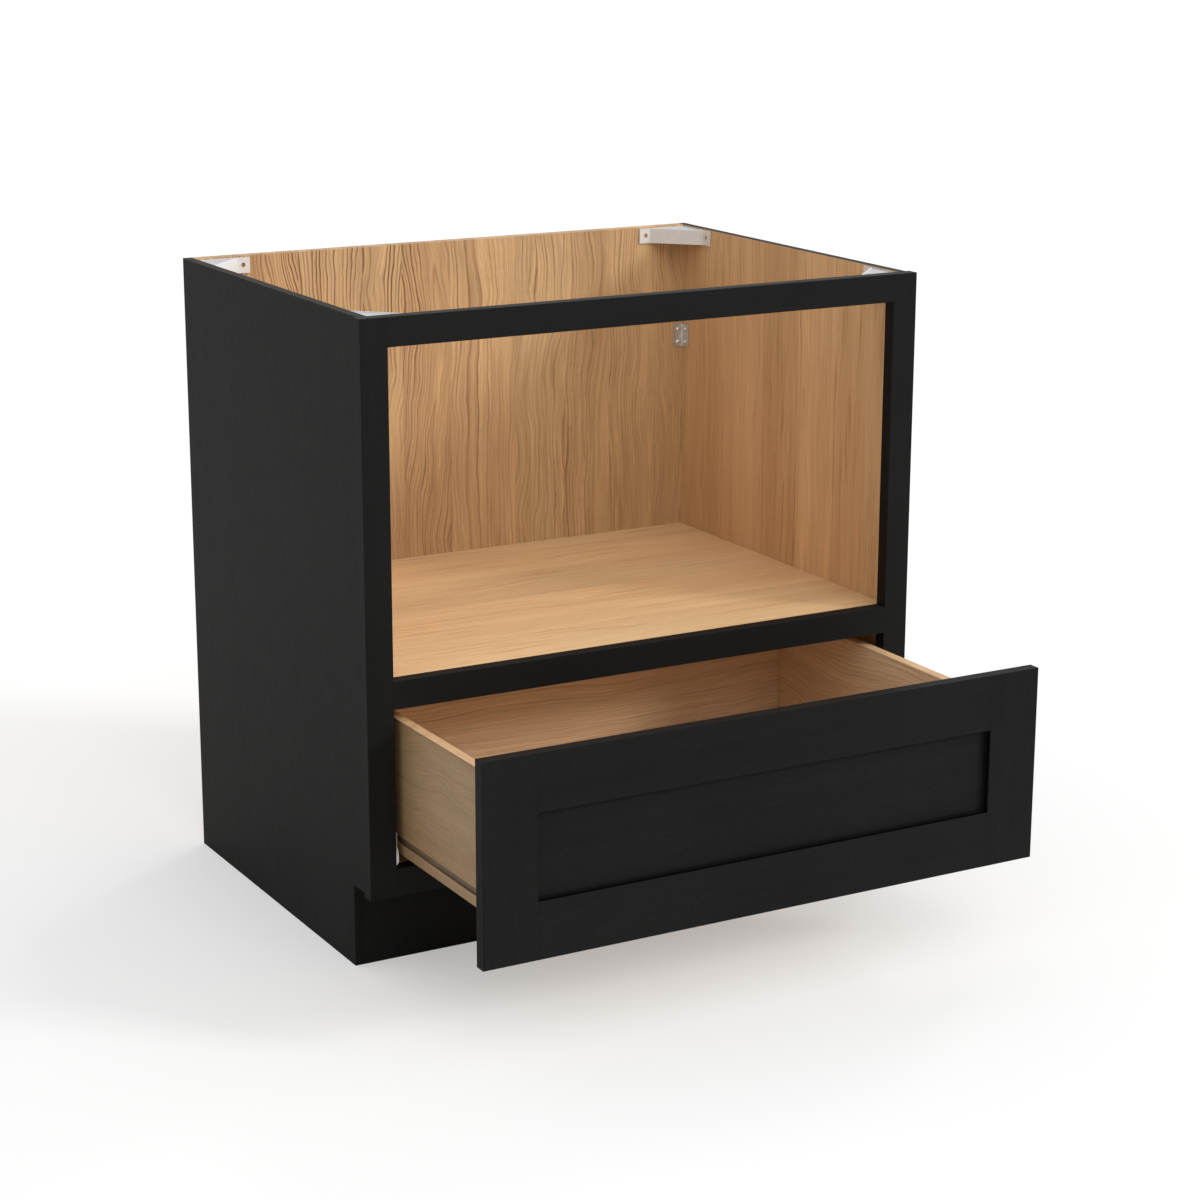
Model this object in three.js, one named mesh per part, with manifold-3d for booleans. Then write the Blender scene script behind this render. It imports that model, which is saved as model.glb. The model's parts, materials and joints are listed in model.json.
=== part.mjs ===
// Microwave base cabinet: a face-frame carcass with an open appliance bay over one wide drawer.
// Millimetres. +X is to the right of someone facing the cabinet, +Y runs to the wall, +Z is up.
// Pieces are written from the face frame's front plane (y = 0) and the floor (z = 0), with every
// sliding piece in its closed place, and the groups at the end slide them out and set the origin.

import * as THREE from 'three';
import { ConvexGeometry } from 'three/addons/geometries/ConvexGeometry.js';
import { mergeVertices } from 'three/addons/utils/BufferGeometryUtils.js';
import Module from 'manifold-3d';

const wasm = await Module();
wasm.setup();

// ---- Driving dimensions ----------------------------------------------------------------------

const LEFT = -1;
const RIGHT = 1;
const SIDES = { left: LEFT, right: RIGHT };

// Clearances
const glueGap = 0.2;            // between boards that are glued or screwed together
const seatGap = 0.3;            // between a fitting and what it sits on
const runGap = 0.4;             // around a screw shank or a pivot pin in its hole

// Cabinet
const width = 838.2;
const depth = 609.6;
const height = 876.3;
const toeHeight = 114.3;        // floor to the underside of the face frame
const toeRecess = 65;
const sideThickness = 12.7;
const backThickness = 19.05;
const shelfThickness = 19.05;
const floorThickness = 12.7;
const toeBoardThickness = 12.7;
const dadoDepth = 5;            // how far a board is let into its neighbour
const tongueDrop = 3;           // a deck's tongue lies this far below its top face
const deckDrop = 3.2;           // shelf and cabinet floor lie this far below the rails' top edges

// Face frame
const frameThickness = 19.05;
const frameMember = 38.1;       // width of the stiles and rails
const stileOverhang = 5.6;      // the stiles stand out past the side panels
const drawerOpeningHeight = 215.9;
const tenonLength = 12.7;
const tenonThickness = 6.4;
const tenonShoulder = 6;
const edgeEase = 0.8;           // chamfer on the arrises that hands touch

// Drawer front, a flat panel in a five-piece frame
const overlapSide = 31.75;
const overlapBottom = 25.4;
const overlapTop = 23.8;
const frontThickness = 18;
const frontMember = 75.5;       // width of its stiles and rails
const panelRecess = 10.5;       // from the front face back to the panel
const beadDepth = 7.5;          // from the front face back to the bead
const beadWidth = 2.5;          // how far the bead stands out past the frame's inner edge
const panelThickness = 5.5;
const panelGroove = 9;          // how far the panel is let into its frame

// Drawer box
const drawerOut = 289.5;        // how far the drawer stands open here
const bumperSpace = 2;          // face frame to the shut drawer front
const boxSideSpace = 11.1;      // each side, box to stile
const boxBottomSpace = 14;      // bottom rail to box
const boxTopSpace = 18.4;       // box to middle rail
const boxRearSpace = 59.15;     // shut box to back panel
const boxSideThickness = 15;
const boxEndThickness = 15;
const boxBottomThickness = 6;
const boxBottomRecess = 12.7;   // box bottom lies this far above the sides' lower edges
const sideGrooveHeight = 9.7;   // the line routed along the outside of each side
const sideGrooveRise = 15;
const sideGrooveDepth = 3.5;
const bottomGrooveDepth = 6;
const bumperRadius = 4.5;
const bumperInset = 14;         // from the drawer front's edges to a bumper's middle
const frontScrewInset = 170;    // from the box's sides to the screws that hold the front
const frontScrewRise = 24.4;    // box front's lower edge to the lower screws
const frontScrewDrop = 13;      // box front's top edge to the upper screws

// Corner brackets of moulded plastic
const bracketPlate = 2.5;
const bracketLeg = 59;          // corner to the diagonal web, along each wall
const bracketEar = 20.5;
const bracketHeight = 22.5;
const bracketDrop = 1.8;        // below the cabinet's top edge
const bracketRim = 1.2;         // left standing around the sunk top plate
const plateSink = 1;
const earHoleRadius = 3.4;
const earHoleDrop = 11;
const plateHoleRadius = 1.9;
const plateHoleInset = 21;
const plateHolePitch = 6.2;

// Steel corner clips
const clipThickness = 1.5;
const clipLeg = 18;
const clipHeight = 36;
const clipBottom = 686.5;       // above the floor
const clipScrewInset = 9.5;     // corner to the screws
const clipScrewMargin = 8;      // clip's ends to the screws
const clipScrewLength = 10;

// Screws
const screwHeadRadius = 3.4;
const screwHeadHeight = 2;
const screwShankRadius = 1.6;
const frontScrewHeadRadius = 5;
const frontScrewLength = 25;

// Under-drawer slides
const sheet = 1.2;              // steel sheet
const slideSetback = 6;         // face frame front to the cabinet member
const slideOverrun = 6;         // the cabinet member ends this far behind the shut box
const slideLift = 1.6;          // cabinet member above the bottom rail
const flangeHeight = 48;
const slideNotch = 54;          // front stretch of the cabinet member that is only its flange
const lipWidth = 5.5;           // flange's folded front edge
const lipNeckWidth = 3.4;
const lipNeckRise = 26;
const channelInset = 27.5;      // flange to the channel that guides the middle member
const channelWidth = 20.4;
const channelHeight = 9.5;
const channelLip = 5.7;
const middleWidth = 15;
const middleHeight = 14.2;
const middleSetback = 3;        // behind the drawer member's front end when shut
const middleRearSetback = 47;   // ahead of the cabinet member's rear end when shut
const lowerRollerRadius = 1.3;
const upperRollerRadius = 1.9;
const rollerPlay = 0.2;
const drawerMemberWidth = 21.2;
const drawerMemberHeight = 10.2;
const drawerMemberLip = 4.4;
const cageLength = 160;
const cageWidth = 13;
const cageThickness = 1.2;
const rollerLength = 9;
const rollerPitch = 22;
const rollerEndMargin = 14;
const lowerCageStart = 195;
const upperCageStart = 170;
const cageLag = { lower: 0.25, upper: 0.75 };   // share of the drawer's travel
const middleLag = 0.5;

// Rear brackets of the slides
const rearBracketSheet = 2;
const rearBracketHeight = 32;
const rearBracketOverlap = 40;
const rearBracketFoot = 28;
const rearBracketHoleRadius = 2.2;
const rearBracketHolePitch = 16;

// Front locks that hold the box on the slides, and their release levers
const lockWidth = 34;
const lockLength = 60;
const lockHeight = 6.4;
const leverThickness = 3.2;
const leverPinRadius = 2.5;
const leverPinInset = 12;       // lock's outer edge to the pin
const leverPinSetback = 36;     // lock's front edge to the pin
const leverEyeRadius = 6;
const leverArm = 30;            // pin to the finger pad
const leverArmWidth = 7;
const leverPadLength = 16;
const leverToothLead = 18;      // how far ahead of the pin the tooth is
const leverToothReach = 2.2;    // how far the tooth passes the drawer member's wall
const leverToothWidth = 4;
const toothSlotLength = 10;

// ---- Places worked out from them ---------------------------------------------------------------

const halfWidth = width / 2;
const openingHalf = halfWidth - frameMember;
const sideOuter = halfWidth - stileOverhang;
const sideInner = sideOuter - sideThickness;
const backInner = depth - backThickness;
const bottomRailTop = toeHeight + frameMember;
const middleRailBottom = bottomRailTop + drawerOpeningHeight;
const middleRailTop = middleRailBottom + frameMember;
const floorTop = bottomRailTop - deckDrop;
const shelfTop = middleRailTop - deckDrop;

const frontBack = -bumperSpace;                    // drawer front's inner face, shut
const frontFace = frontBack - frontThickness;
const frontHalf = openingHalf + overlapSide;
const frontBottom = bottomRailTop - overlapBottom;
const frontTop = middleRailBottom + overlapTop;

const boxOuter = openingHalf - boxSideSpace;
const boxInner = boxOuter - boxSideThickness;
const boxFront = frontBack + glueGap;
const boxRear = backInner - boxRearSpace;
const boxBottom = bottomRailTop + boxBottomSpace;
const boxTop = middleRailBottom - boxTopSpace;
const boxPanelUnder = boxBottom + boxBottomRecess;
const boxPanelTop = boxPanelUnder + boxBottomThickness;

const slideBottom = bottomRailTop + slideLift;
const slideRear = boxRear + slideOverrun;
const flangeOuter = openingHalf - seatGap;
const channelOuter = flangeOuter - channelInset;
const slideCentre = channelOuter - channelWidth / 2;
const middleBottom = slideBottom + sheet + 2 * (lowerRollerRadius + rollerPlay);
const middleTop = middleBottom + middleHeight;
const drawerMemberTop = boxPanelUnder - seatGap;
const drawerMemberBottom = drawerMemberTop - drawerMemberHeight;
const drawerMemberFront = boxFront + boxEndThickness + seatGap;
const lockOuter = slideCentre - drawerMemberWidth / 2 - seatGap;
const lockTop = boxPanelUnder - seatGap;
const leverTop = lockTop - lockHeight - seatGap;
const leverPinX = lockOuter - leverPinInset;
const leverPinY = drawerMemberFront + leverPinSetback;
const leverToothY = leverPinY - leverToothLead;

// ---- Materials ---------------------------------------------------------------------------------

const finish = (name, color, roughness, metalness = 0) =>
  new THREE.MeshStandardMaterial({ name, color, roughness, metalness });
const blackPaint = () => finish('black_paint', 0x222221, 0.55);
const oak = () => finish('natural_oak', 0xc49a68, 0.6);
const boxWood = () => finish('drawer_wood', 0xc9a376, 0.6);
const whitePlastic = () => finish('white_plastic', 0xcfc9c2, 0.5);
const greyPlastic = () => finish('grey_plastic', 0x6b6e70, 0.5);
const clearRubber = () => finish('bumper_rubber', 0xb9b9b4, 0.4);
const zinc = () => finish('zinc_steel', 0xb6b6b4, 0.35, 0.9);

// ---- Shape helpers -----------------------------------------------------------------------------

// A closed solid from a geometry, and back again.
function solidOf(geometry) {
  const bare = geometry.clone();
  bare.deleteAttribute('normal');
  bare.deleteAttribute('uv');
  const merged = mergeVertices(bare);
  const vertProperties = new Float32Array(merged.attributes.position.array);
  const triVerts = new Uint32Array(merged.index.array);
  return new wasm.Manifold(new wasm.Mesh({ numProp: 3, vertProperties, triVerts }));
}

function geometryOf(solid) {
  const mesh = solid.getMesh();
  const geometry = new THREE.BufferGeometry();
  geometry.setAttribute('position', new THREE.BufferAttribute(mesh.vertProperties, 3));
  geometry.setIndex(new THREE.BufferAttribute(mesh.triVerts, 1));
  geometry.computeVertexNormals();
  return geometry;
}

function cut(geometry, ...tools) {
  return geometryOf(tools.reduce((body, tool) => body.subtract(solidOf(tool)), solidOf(geometry)));
}

function join(geometry, ...more) {
  return geometryOf(more.reduce((body, piece) => body.add(solidOf(piece)), solidOf(geometry)));
}

// A box between two limits on each axis, given in either order.
function block(xs, ys, zs) {
  const size = [xs, ys, zs].map(([a, b]) => Math.abs(b - a));
  const middle = [xs, ys, zs].map(([a, b]) => (a + b) / 2);
  return new THREE.BoxGeometry(...size).translate(...middle);
}

// An outline in X and Z, run along Y from one limit to the other.
function alongY(outline, front, rear) {
  const shape = new THREE.Shape(outline.map(([x, z]) => new THREE.Vector2(x, z)));
  const run = new THREE.ExtrudeGeometry(shape, { depth: rear - front, bevelEnabled: false });
  return run.rotateX(Math.PI / 2).translate(0, rear, 0);
}

// An outline in X and Y, run upwards from one height to the other.
function alongZ(outline, bottom, top) {
  const shape = new THREE.Shape(outline.map(([x, y]) => new THREE.Vector2(x, y)));
  const run = new THREE.ExtrudeGeometry(shape, { depth: top - bottom, bevelEnabled: false });
  return run.translate(0, 0, bottom);
}

// An outline in Y and Z, run along X from one limit to the other.
function alongX(outline, start, end) {
  const shape = new THREE.Shape(outline.map(([y, z]) => new THREE.Vector2(y, z)));
  const run = new THREE.ExtrudeGeometry(shape, { depth: end - start, bevelEnabled: false });
  return run.rotateY(Math.PI / 2).rotateX(Math.PI / 2).translate(start, 0, 0);
}

// A round bar on an axis, between two limits along it.
function rod(axis, radius, [a, b], [u, v], segments = 20) {
  const bar = new THREE.CylinderGeometry(radius, radius, Math.abs(b - a), segments);
  const middle = (a + b) / 2;
  if (axis === 'x') return bar.rotateZ(Math.PI / 2).translate(middle, u, v);
  if (axis === 'y') return bar.translate(u, middle, v);
  return bar.rotateX(Math.PI / 2).translate(u, v, middle);
}

// A board whose arrises are eased all round.
function easedBlock(xs, ys, zs, ease) {
  const points = [];
  const corner = ([a, b], high) => (high ? Math.max(a, b) : Math.min(a, b));
  for (const highX of [false, true]) {
    for (const highY of [false, true]) {
      for (const highZ of [false, true]) {
        const at = [corner(xs, highX), corner(ys, highY), corner(zs, highZ)];
        const inward = [highX ? -ease : ease, highY ? -ease : ease, highZ ? -ease : ease];
        for (const kept of [0, 1, 2]) {
          points.push(new THREE.Vector3(...at.map((p, i) => (i === kept ? p : p + inward[i]))));
        }
      }
    }
  }
  return new ConvexGeometry(points);
}

// A pan-head screw with its tip at the origin's far side: head under `at`, shank along `direction`.
function panHeadScrew(headRadius, length) {
  const tip = screwShankRadius * 0.9;
  const rim = screwHeadHeight * 0.4;
  const profile = [
    [0, length], [screwShankRadius * 0.3, length], [screwShankRadius, length - tip],
    [screwShankRadius, 0], [headRadius, 0], [headRadius, -rim],
    [headRadius * 0.6, -screwHeadHeight], [0, -screwHeadHeight],
  ];
  return new THREE.LatheGeometry(profile.map(([r, y]) => new THREE.Vector2(r, y)).reverse(), 14);
}

// Puts a geometry's own middle at its mesh's origin and the mesh where the geometry was.
function addPiece(group, name, geometry, material) {
  geometry.computeBoundingBox();
  const middle = geometry.boundingBox.getCenter(new THREE.Vector3());
  const mesh = new THREE.Mesh(geometry.translate(-middle.x, -middle.y, -middle.z), material);
  mesh.name = name;
  mesh.position.copy(middle);
  group.add(mesh);
  return mesh;
}

// ---- Carcass -----------------------------------------------------------------------------------

function sidePanel(side) {
  const front = frameThickness - dadoDepth + glueGap;
  const outer = side * sideOuter;
  const dadoFace = side * (sideInner + dadoDepth);
  const pastInner = side * (sideInner - dadoDepth);
  const board = block([outer, side * sideInner], [front, depth], [0, height]);
  const toeNotch = block(
    [side * (sideOuter + dadoDepth), pastInner], [-dadoDepth, toeRecess], [-dadoDepth, toeHeight]);
  const dado = (top, thickness) => block(
    [dadoFace, pastInner], [-dadoDepth, backInner + glueGap],
    [top - tongueDrop + glueGap, top - thickness - glueGap]);
  return cut(board, toeNotch, dado(shelfTop, shelfThickness), dado(floorTop, floorThickness));
}

// Shelf and cabinet floor, with tongues let into the side panels and the rail in front of them.
function deck(top, thickness) {
  const half = sideInner - glueGap;
  const sideTongue = sideInner + dadoDepth - glueGap;
  const railTongue = frameThickness - dadoDepth + glueGap;
  const clearOfStile = openingHalf - glueGap;
  const lengthways = [frameThickness + glueGap, backInner - glueGap];
  const tongueHeights = [top - thickness, top - tongueDrop];
  const board = block([-half, half], lengthways, [top - thickness, top]);
  const sides = block([-sideTongue, sideTongue], lengthways, tongueHeights);
  const nose = block([-clearOfStile, clearOfStile], [railTongue, frameThickness + 2 * dadoDepth],
    tongueHeights);
  return join(board, sides, nose);
}

function backPanel() {
  const half = sideInner - glueGap;
  return block([-half, half], [backInner, depth], [0, height]);
}

function toeBoard() {
  const half = sideInner - glueGap;
  const top = floorTop - floorThickness - glueGap;
  return block([-half, half], [toeRecess, toeRecess + toeBoardThickness], [0, top]);
}

// ---- Face frame --------------------------------------------------------------------------------

const tenonFront = (frameThickness - tenonThickness) / 2 - dadoDepth / 2;

function tenon(side, railBottom, grow) {
  const reach = openingHalf + tenonLength - glueGap + grow;
  return block(
    [side * (openingHalf - tenonLength), side * reach],
    [tenonFront - grow, tenonFront + tenonThickness + grow],
    [railBottom + tenonShoulder - grow, railBottom + frameMember - tenonShoulder + grow]);
}

const railBottoms = {
  top_rail: height - frameMember,
  middle_rail: middleRailBottom,
  bottom_rail: toeHeight,
};

const openings = [
  [railBottoms.bottom_rail + frameMember, railBottoms.middle_rail],
  [railBottoms.middle_rail + frameMember, railBottoms.top_rail],
];

// Tools that ease the front arris of a stile, whose face is at `face`. `into` points from the edge
// into the wood. The inner arris is eased only along an opening, so the joints lie flush.
function easingUpwards(edge, into, face, [bottom, top]) {
  const [inside, outside] = [edge + 2 * into * edgeEase, edge - into * edgeEase];
  return alongZ([[outside, face + 2 * edgeEase], [inside, face - edgeEase],
    [outside, face - edgeEase]], bottom, top);
}

function easingAcross(edge, into, face) {
  const [inside, outside] = [edge + 2 * into * edgeEase, edge - into * edgeEase];
  return alongX([[face + 2 * edgeEase, outside], [face - edgeEase, inside],
    [face - edgeEase, outside]], -width, width);
}

function stile(side) {
  const inner = side * openingHalf;
  const outer = side * halfWidth;
  const eased = side * (halfWidth - edgeEase);
  const outline = [
    [inner, frameThickness], [inner, 0], [eased, 0], [outer, edgeEase], [outer, frameThickness],
  ];
  const sideDado = block(
    [side * (sideOuter + glueGap), side * (sideInner - glueGap)],
    [frameThickness - dadoDepth, frameThickness + dadoDepth], [0, height + dadoDepth]);
  const mortises = Object.values(railBottoms).map((bottom) => tenon(side, bottom, glueGap));
  const easings = openings.map((opening) => easingUpwards(inner, side, 0, opening));
  return cut(alongZ(outline, toeHeight, height), sideDado, ...mortises, ...easings,
    easingAcross(height, -1, 0));
}

// A rail with its tenons. Where a deck meets it, its back has a groove for the deck's front edge.
function rail(bottom, deckTop = 0, deckThickness = 0) {
  const top = bottom + frameMember;
  const half = openingHalf - glueGap;
  const outline = [
    [edgeEase, bottom], [frameThickness, bottom], [frameThickness, top],
    [edgeEase, top], [0, top - edgeEase], [0, bottom + edgeEase],
  ];
  const body = join(alongX(outline, -half, half), tenon(LEFT, bottom, 0), tenon(RIGHT, bottom, 0));
  if (!deckThickness) return body;
  const groove = block(
    [-halfWidth, halfWidth], [frameThickness - dadoDepth, frameThickness + dadoDepth],
    [deckTop - tongueDrop + glueGap, deckTop - deckThickness - glueGap]);
  return cut(body, groove);
}

// ---- Corner fittings ---------------------------------------------------------------------------

// Plastic bracket for a top corner. `wall` is the y of the wall it backs on, and `inward` the
// direction along Y that leads from that wall into the cabinet.
function cornerBracket(side, wall, inward) {
  const x = (out) => side * (sideInner - seatGap - out);
  const y = (out) => wall + inward * (seatGap + out);
  const top = height - bracketDrop;
  const bottom = top - bracketHeight;
  const earEnd = bracketLeg + bracketEar;
  const plate = alongZ([
    [x(0), y(0)], [x(bracketLeg), y(0)], [x(bracketLeg), y(bracketPlate)],
    [x(bracketPlate), y(bracketLeg)], [x(0), y(bracketLeg)],
  ], top - bracketPlate, top);
  const slant = bracketPlate * Math.SQRT2;
  const web = alongZ([
    [x(bracketLeg), y(0)], [x(bracketLeg + bracketPlate), y(0)],
    [x(bracketLeg + bracketPlate), y(bracketPlate)], [x(bracketPlate), y(bracketLeg + bracketPlate)],
    [x(0), y(bracketLeg + bracketPlate)], [x(0), y(bracketLeg)],
    [x(bracketPlate), y(bracketLeg + bracketPlate - slant)],
    [x(bracketLeg + bracketPlate - slant), y(bracketPlate)],
  ], bottom, top);
  const reach = bracketLeg + bracketPlate - 2 * bracketRim;
  const pocket = alongZ([
    [x(bracketRim), y(bracketRim)], [x(reach), y(bracketRim)], [x(bracketRim), y(reach)],
  ], top - plateSink, top + plateSink);
  const backEar = block([x(bracketLeg), x(earEnd)], [y(0), y(bracketPlate)], [bottom, top]);
  const sideEar = block([x(0), x(bracketPlate)], [y(bracketLeg), y(earEnd)], [bottom, top]);
  const holeAt = earEnd - bracketEar / 2;
  const past = bracketPlate * 2;
  const backHole = rod('y', earHoleRadius, [y(-past), y(past)], [x(holeAt), top - earHoleDrop]);
  const sideHole = rod('x', earHoleRadius, [x(-past), x(past)], [y(holeAt), top - earHoleDrop]);
  const plateHoles = [0, plateHolePitch].map((step) =>
    rod('z', plateHoleRadius, [top - past, top + past], [x(plateHoleInset + step), y(plateHoleInset)], 12));
  return cut(join(plate, web, backEar, sideEar), pocket, backHole, sideHole, ...plateHoles);
}

// Steel angle that ties a side panel to the back panel, with two screws in each leg.
const clipScrewHeights = [clipBottom + clipScrewMargin, clipBottom + clipHeight - clipScrewMargin];

function cornerClip(side) {
  const x = (out) => side * (sideInner - seatGap - out);
  const y = (out) => backInner - seatGap - out;
  const bend = clipThickness;
  const angle = alongZ([
    [x(0), y(bend)], [x(bend), y(0)], [x(clipLeg), y(0)], [x(clipLeg), y(clipThickness)],
    [x(clipThickness + bend), y(clipThickness)], [x(clipThickness), y(clipThickness + bend)],
    [x(clipThickness), y(clipLeg)], [x(0), y(clipLeg)],
  ], clipBottom, clipBottom + clipHeight);
  const hole = screwShankRadius + runGap;
  const past = clipThickness * 2;
  const holes = clipScrewHeights.flatMap((z) => [
    rod('y', hole, [y(-past), y(past)], [x(clipScrewInset), z], 14),
    rod('x', hole, [x(-past), x(past)], [y(clipScrewInset), z], 14),
  ]);
  return cut(angle, ...holes);
}

// The clip's screws stand in its holes, with their heads on the steel and their tips in the boards.
function clipScrews(group, side, sideName) {
  const seat = clipThickness + 2 * seatGap;
  const wallX = side * (sideInner - seat);
  const wallY = backInner - seat;
  clipScrewHeights.forEach((z, row) => {
    const intoBack = panHeadScrew(screwHeadRadius, clipScrewLength);
    intoBack.translate(side * (sideInner - seatGap - clipScrewInset), wallY, z);
    addPiece(group, `${sideName}_clip_back_screw_${row + 1}`, intoBack, zinc());
    const intoSide = panHeadScrew(screwHeadRadius, clipScrewLength).rotateZ(-side * Math.PI / 2);
    intoSide.translate(wallX, backInner - seatGap - clipScrewInset, z);
    addPiece(group, `${sideName}_clip_side_screw_${row + 1}`, intoSide, zinc());
  });
}

// Clearance holes for those screws in the boards behind the clips.
function clipPilotHoles(side) {
  const radius = screwShankRadius + runGap;
  const reach = clipScrewLength;
  return clipScrewHeights.flatMap((z) => [
    rod('y', radius, [backInner - reach, backInner + reach],
      [side * (sideInner - seatGap - clipScrewInset), z], 14),
    rod('x', radius, [side * (sideInner - reach), side * (sideInner + reach)],
      [backInner - seatGap - clipScrewInset, z], 14),
  ]);
}

// ---- Drawer front ------------------------------------------------------------------------------

// The part of a frame member's section at its inner edge: wall, bead and panel groove, as pairs of
// (distance in from the member's inner edge, distance back from the face). Growing it by a gap
// gives the cope that the rails' ends are cut to.
function stickingEdge(gap) {
  const grooveFront = panelRecess + gap;
  const grooveRear = panelRecess + panelThickness - gap;
  return [
    [gap, -gap], [gap, beadDepth - gap], [beadWidth + gap, beadDepth - gap],
    [beadWidth + gap, grooveFront], [gap - panelGroove, grooveFront],
    [gap - panelGroove, grooveRear], [beadWidth + gap, grooveRear],
    [beadWidth + gap, frontThickness + gap],
  ];
}

function frontStile(side) {
  const innerEdge = frontHalf - frontMember;
  const outline = [
    ...stickingEdge(0).map(([inset, back]) => [side * (innerEdge - inset), frontFace + back]),
    [side * frontHalf, frontBack], [side * frontHalf, frontFace + edgeEase],
    [side * (frontHalf - edgeEase), frontFace],
  ];
  const opening = [frontBottom + frontMember, frontTop - frontMember];
  return cut(alongZ(outline, frontBottom, frontTop),
    easingUpwards(side * innerEdge, side, frontFace, opening),
    easingAcross(frontTop, -1, frontFace), easingAcross(frontBottom, 1, frontFace));
}

// `up` is +1 for the rail whose inner edge faces up (the bottom rail) and -1 for the top rail.
function frontRail(up) {
  const outerZ = up > 0 ? frontBottom : frontTop;
  const innerZ = outerZ + up * frontMember;
  const edge = stickingEdge(0).slice(2);
  const outline = [
    [frontFace, innerZ - up * edgeEase], [frontFace + edgeEase, innerZ],
    [frontFace + beadDepth, innerZ],
    ...edge.map(([inset, back]) => [frontFace + back, innerZ + up * inset]),
    [frontBack, outerZ], [frontFace + edgeEase, outerZ], [frontFace, outerZ + up * edgeEase],
  ];
  const tongue = frontHalf - frontMember + panelGroove - 2 * glueGap;
  const copes = Object.values(SIDES).map((side) => {
    const innerEdge = frontHalf - frontMember;
    const shape = stickingEdge(glueGap).map(([inset, back]) => [
      side * (innerEdge - inset), frontFace + back]);
    const beyond = side * (frontHalf + glueGap);
    return alongZ([...shape, [beyond, frontBack + glueGap], [beyond, frontFace - glueGap]],
      Math.min(outerZ, innerZ) - panelGroove, Math.max(outerZ, innerZ) + panelGroove);
  });
  return cut(alongX(outline, -tongue, tongue), ...copes);
}

function frontPanel() {
  const tongue = panelGroove - 2 * glueGap;
  const half = frontHalf - frontMember + tongue;
  return block(
    [-half, half],
    [frontFace + panelRecess + glueGap, frontFace + panelRecess + panelThickness - glueGap],
    [frontBottom + frontMember - tongue, frontTop - frontMember + tongue]);
}

// Screws through the box front into the drawer front's two rails.
const frontScrewPlaces = [LEFT, RIGHT].flatMap((side) => [
  [side * (boxInner - frontScrewInset), boxBottom + frontScrewRise],
  [side * (boxInner - frontScrewInset), boxTop - frontScrewDrop],
]);

const frontScrewSeat = boxFront + boxEndThickness + seatGap;

function frontScrewHoles() {
  return frontScrewPlaces.map(([x, z]) => rod(
    'y', screwShankRadius + runGap,
    [frontScrewSeat + seatGap, frontScrewSeat - frontScrewLength - runGap], [x, z], 14));
}

function frontScrews(group) {
  frontScrewPlaces.forEach(([x, z], i) => {
    const screw = panHeadScrew(frontScrewHeadRadius, frontScrewLength).rotateZ(Math.PI);
    addPiece(group, `drawer_front_screw_${i + 1}`, screw.translate(x, frontScrewSeat, z), zinc());
  });
}

// Soft bumpers at the four corners of the drawer front's inner face.
function bumpers(group) {
  const places = [LEFT, RIGHT].flatMap((side) => [frontBottom + bumperInset, frontTop - bumperInset]
    .map((z) => [side * (frontHalf - bumperInset), z]));
  places.forEach(([x, z], i) => {
    const foot = frontBack + glueGap / 2;
    const dome = [
      [0, 0], [bumperRadius, 0], [bumperRadius, bumperSpace * 0.4],
      [bumperRadius * 0.6, bumperSpace - glueGap - glueGap / 2],
      [0, bumperSpace - glueGap - glueGap / 2],
    ];
    const bumper = new THREE.LatheGeometry(dome.map(([r, y]) => new THREE.Vector2(r, y)), 16);
    addPiece(group, `drawer_bumper_${i + 1}`, bumper.translate(x, foot, z), clearRubber());
  });
}

// ---- Drawer box --------------------------------------------------------------------------------

const panelSlot = [boxPanelUnder - glueGap, boxPanelTop + glueGap];

function boxSide(side) {
  const board = easedBlock(
    [side * boxInner, side * boxOuter], [boxFront, boxRear], [boxBottom, boxTop], edgeEase);
  const grooveBottom = boxBottom + sideGrooveRise;
  const outsideGroove = block(
    [side * (boxOuter - sideGrooveDepth), side * (boxOuter + sideGrooveDepth)],
    [boxFront - sideGrooveDepth, boxRear + sideGrooveDepth],
    [grooveBottom, grooveBottom + sideGrooveHeight]);
  const bottomGroove = block(
    [side * (boxInner - bottomGrooveDepth), side * (boxInner + bottomGrooveDepth)],
    [boxFront - bottomGrooveDepth, boxRear + bottomGrooveDepth], panelSlot);
  return cut(board, outsideGroove, bottomGroove);
}

// A front or back board between the box's sides, grooved for the bottom.
function boxEnd(front, inward) {
  const half = boxInner - glueGap;
  const rear = front + boxEndThickness;
  const grooveFace = inward > 0 ? rear : front;
  const board = easedBlock([-half, half], [front, rear], [boxBottom, boxTop], edgeEase);
  const bottomGroove = block(
    [-boxOuter, boxOuter],
    [grooveFace - inward * bottomGrooveDepth, grooveFace + inward * bottomGrooveDepth], panelSlot);
  return cut(board, bottomGroove);
}

// The back board is notched at both lower corners, where the slides run under the box.
function boxBack() {
  const notchReach = slideCentre - drawerMemberWidth / 2 - 2 * seatGap;
  const notches = Object.values(SIDES).map((side) => block(
    [side * boxOuter, side * notchReach], [boxRear + boxEndThickness, boxRear - 2 * boxEndThickness],
    [boxBottom - boxBottomRecess, boxPanelUnder]));
  return cut(boxEnd(boxRear - boxEndThickness, -1), ...notches);
}

function boxBottomPanel() {
  const tongue = bottomGrooveDepth - glueGap;
  const half = boxInner + tongue;
  const front = boxFront + boxEndThickness - tongue;
  const rear = boxRear - boxEndThickness + tongue;
  return block([-half, half], [front, rear], [boxPanelUnder, boxPanelTop]);
}

// ---- Slides ------------------------------------------------------------------------------------

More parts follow.
